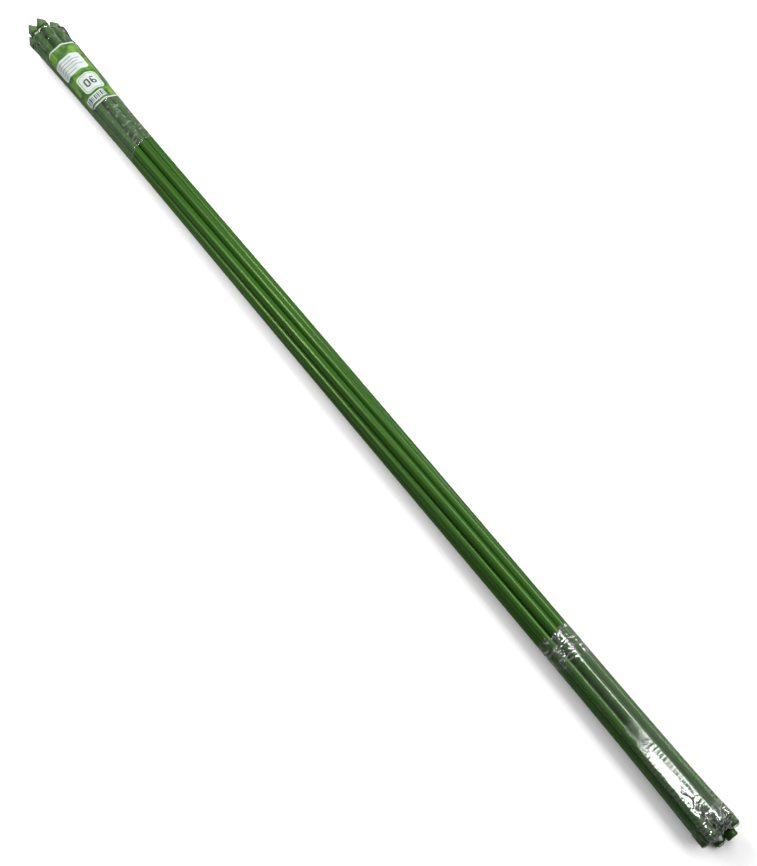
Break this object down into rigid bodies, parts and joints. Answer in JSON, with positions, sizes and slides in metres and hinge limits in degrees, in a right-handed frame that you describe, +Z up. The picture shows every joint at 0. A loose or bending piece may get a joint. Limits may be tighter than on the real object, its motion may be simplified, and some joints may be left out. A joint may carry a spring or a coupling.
{
  "type": "bundle of plant support poles",
  "caption": "Retail bundle of plastic coated steel plant support poles with pointed ground tips and round end caps, held by a clear shrink sleeve at each end over a plain label card",
  "frame": {"origin": "on the ground under the middle of the bundle's box", "axes": "+X runs along the poles from the ground tips to the end caps, +Z is up with the bundle lying on the ground, +Y is across it"},
  "size_m": [0.913, 0.0358, 0.0356],
  "materials": {
    "steel": "bare drawn tube",
    "coat": "smooth satin extruded coat",
    "tip": "moulded, satin",
    "cap": "moulded, satin",
    "label": "printed and glazed",
    "sleeve": "clear shrink film"
  },
  "bodies": {
    "root": {"pole_1_steel_tube": "steel", "pole_1_coat": "coat", "pole_1_ground_tip": "tip", "pole_1_end_cap": "cap", "pole_2_steel_tube": "steel", "pole_2_coat": "coat", "pole_2_ground_tip": "tip", "pole_2_end_cap": "cap", "pole_3_steel_tube": "steel", "pole_3_coat": "coat", "pole_3_ground_tip": "tip", "pole_3_end_cap": "cap", "pole_4_steel_tube": "steel", "pole_4_coat": "coat", "pole_4_ground_tip": "tip", "pole_4_end_cap": "cap", "pole_5_steel_tube": "steel", "pole_5_coat": "coat", "pole_5_ground_tip": "tip", "pole_5_end_cap": "cap", "pole_6_steel_tube": "steel", "pole_6_coat": "coat", "pole_6_ground_tip": "tip", "pole_6_end_cap": "cap", "pole_7_steel_tube": "steel", "pole_7_coat": "coat", "pole_7_ground_tip": "tip", "pole_7_end_cap": "cap", "pole_8_steel_tube": "steel", "pole_8_coat": "coat", "pole_8_ground_tip": "tip", "pole_8_end_cap": "cap", "pole_9_steel_tube": "steel", "pole_9_coat": "coat", "pole_9_ground_tip": "tip", "pole_9_end_cap": "cap", "label_card": "label", "tip_end_sleeve": "sleeve", "cap_end_sleeve": "sleeve"}
  },
  "joints": []
}
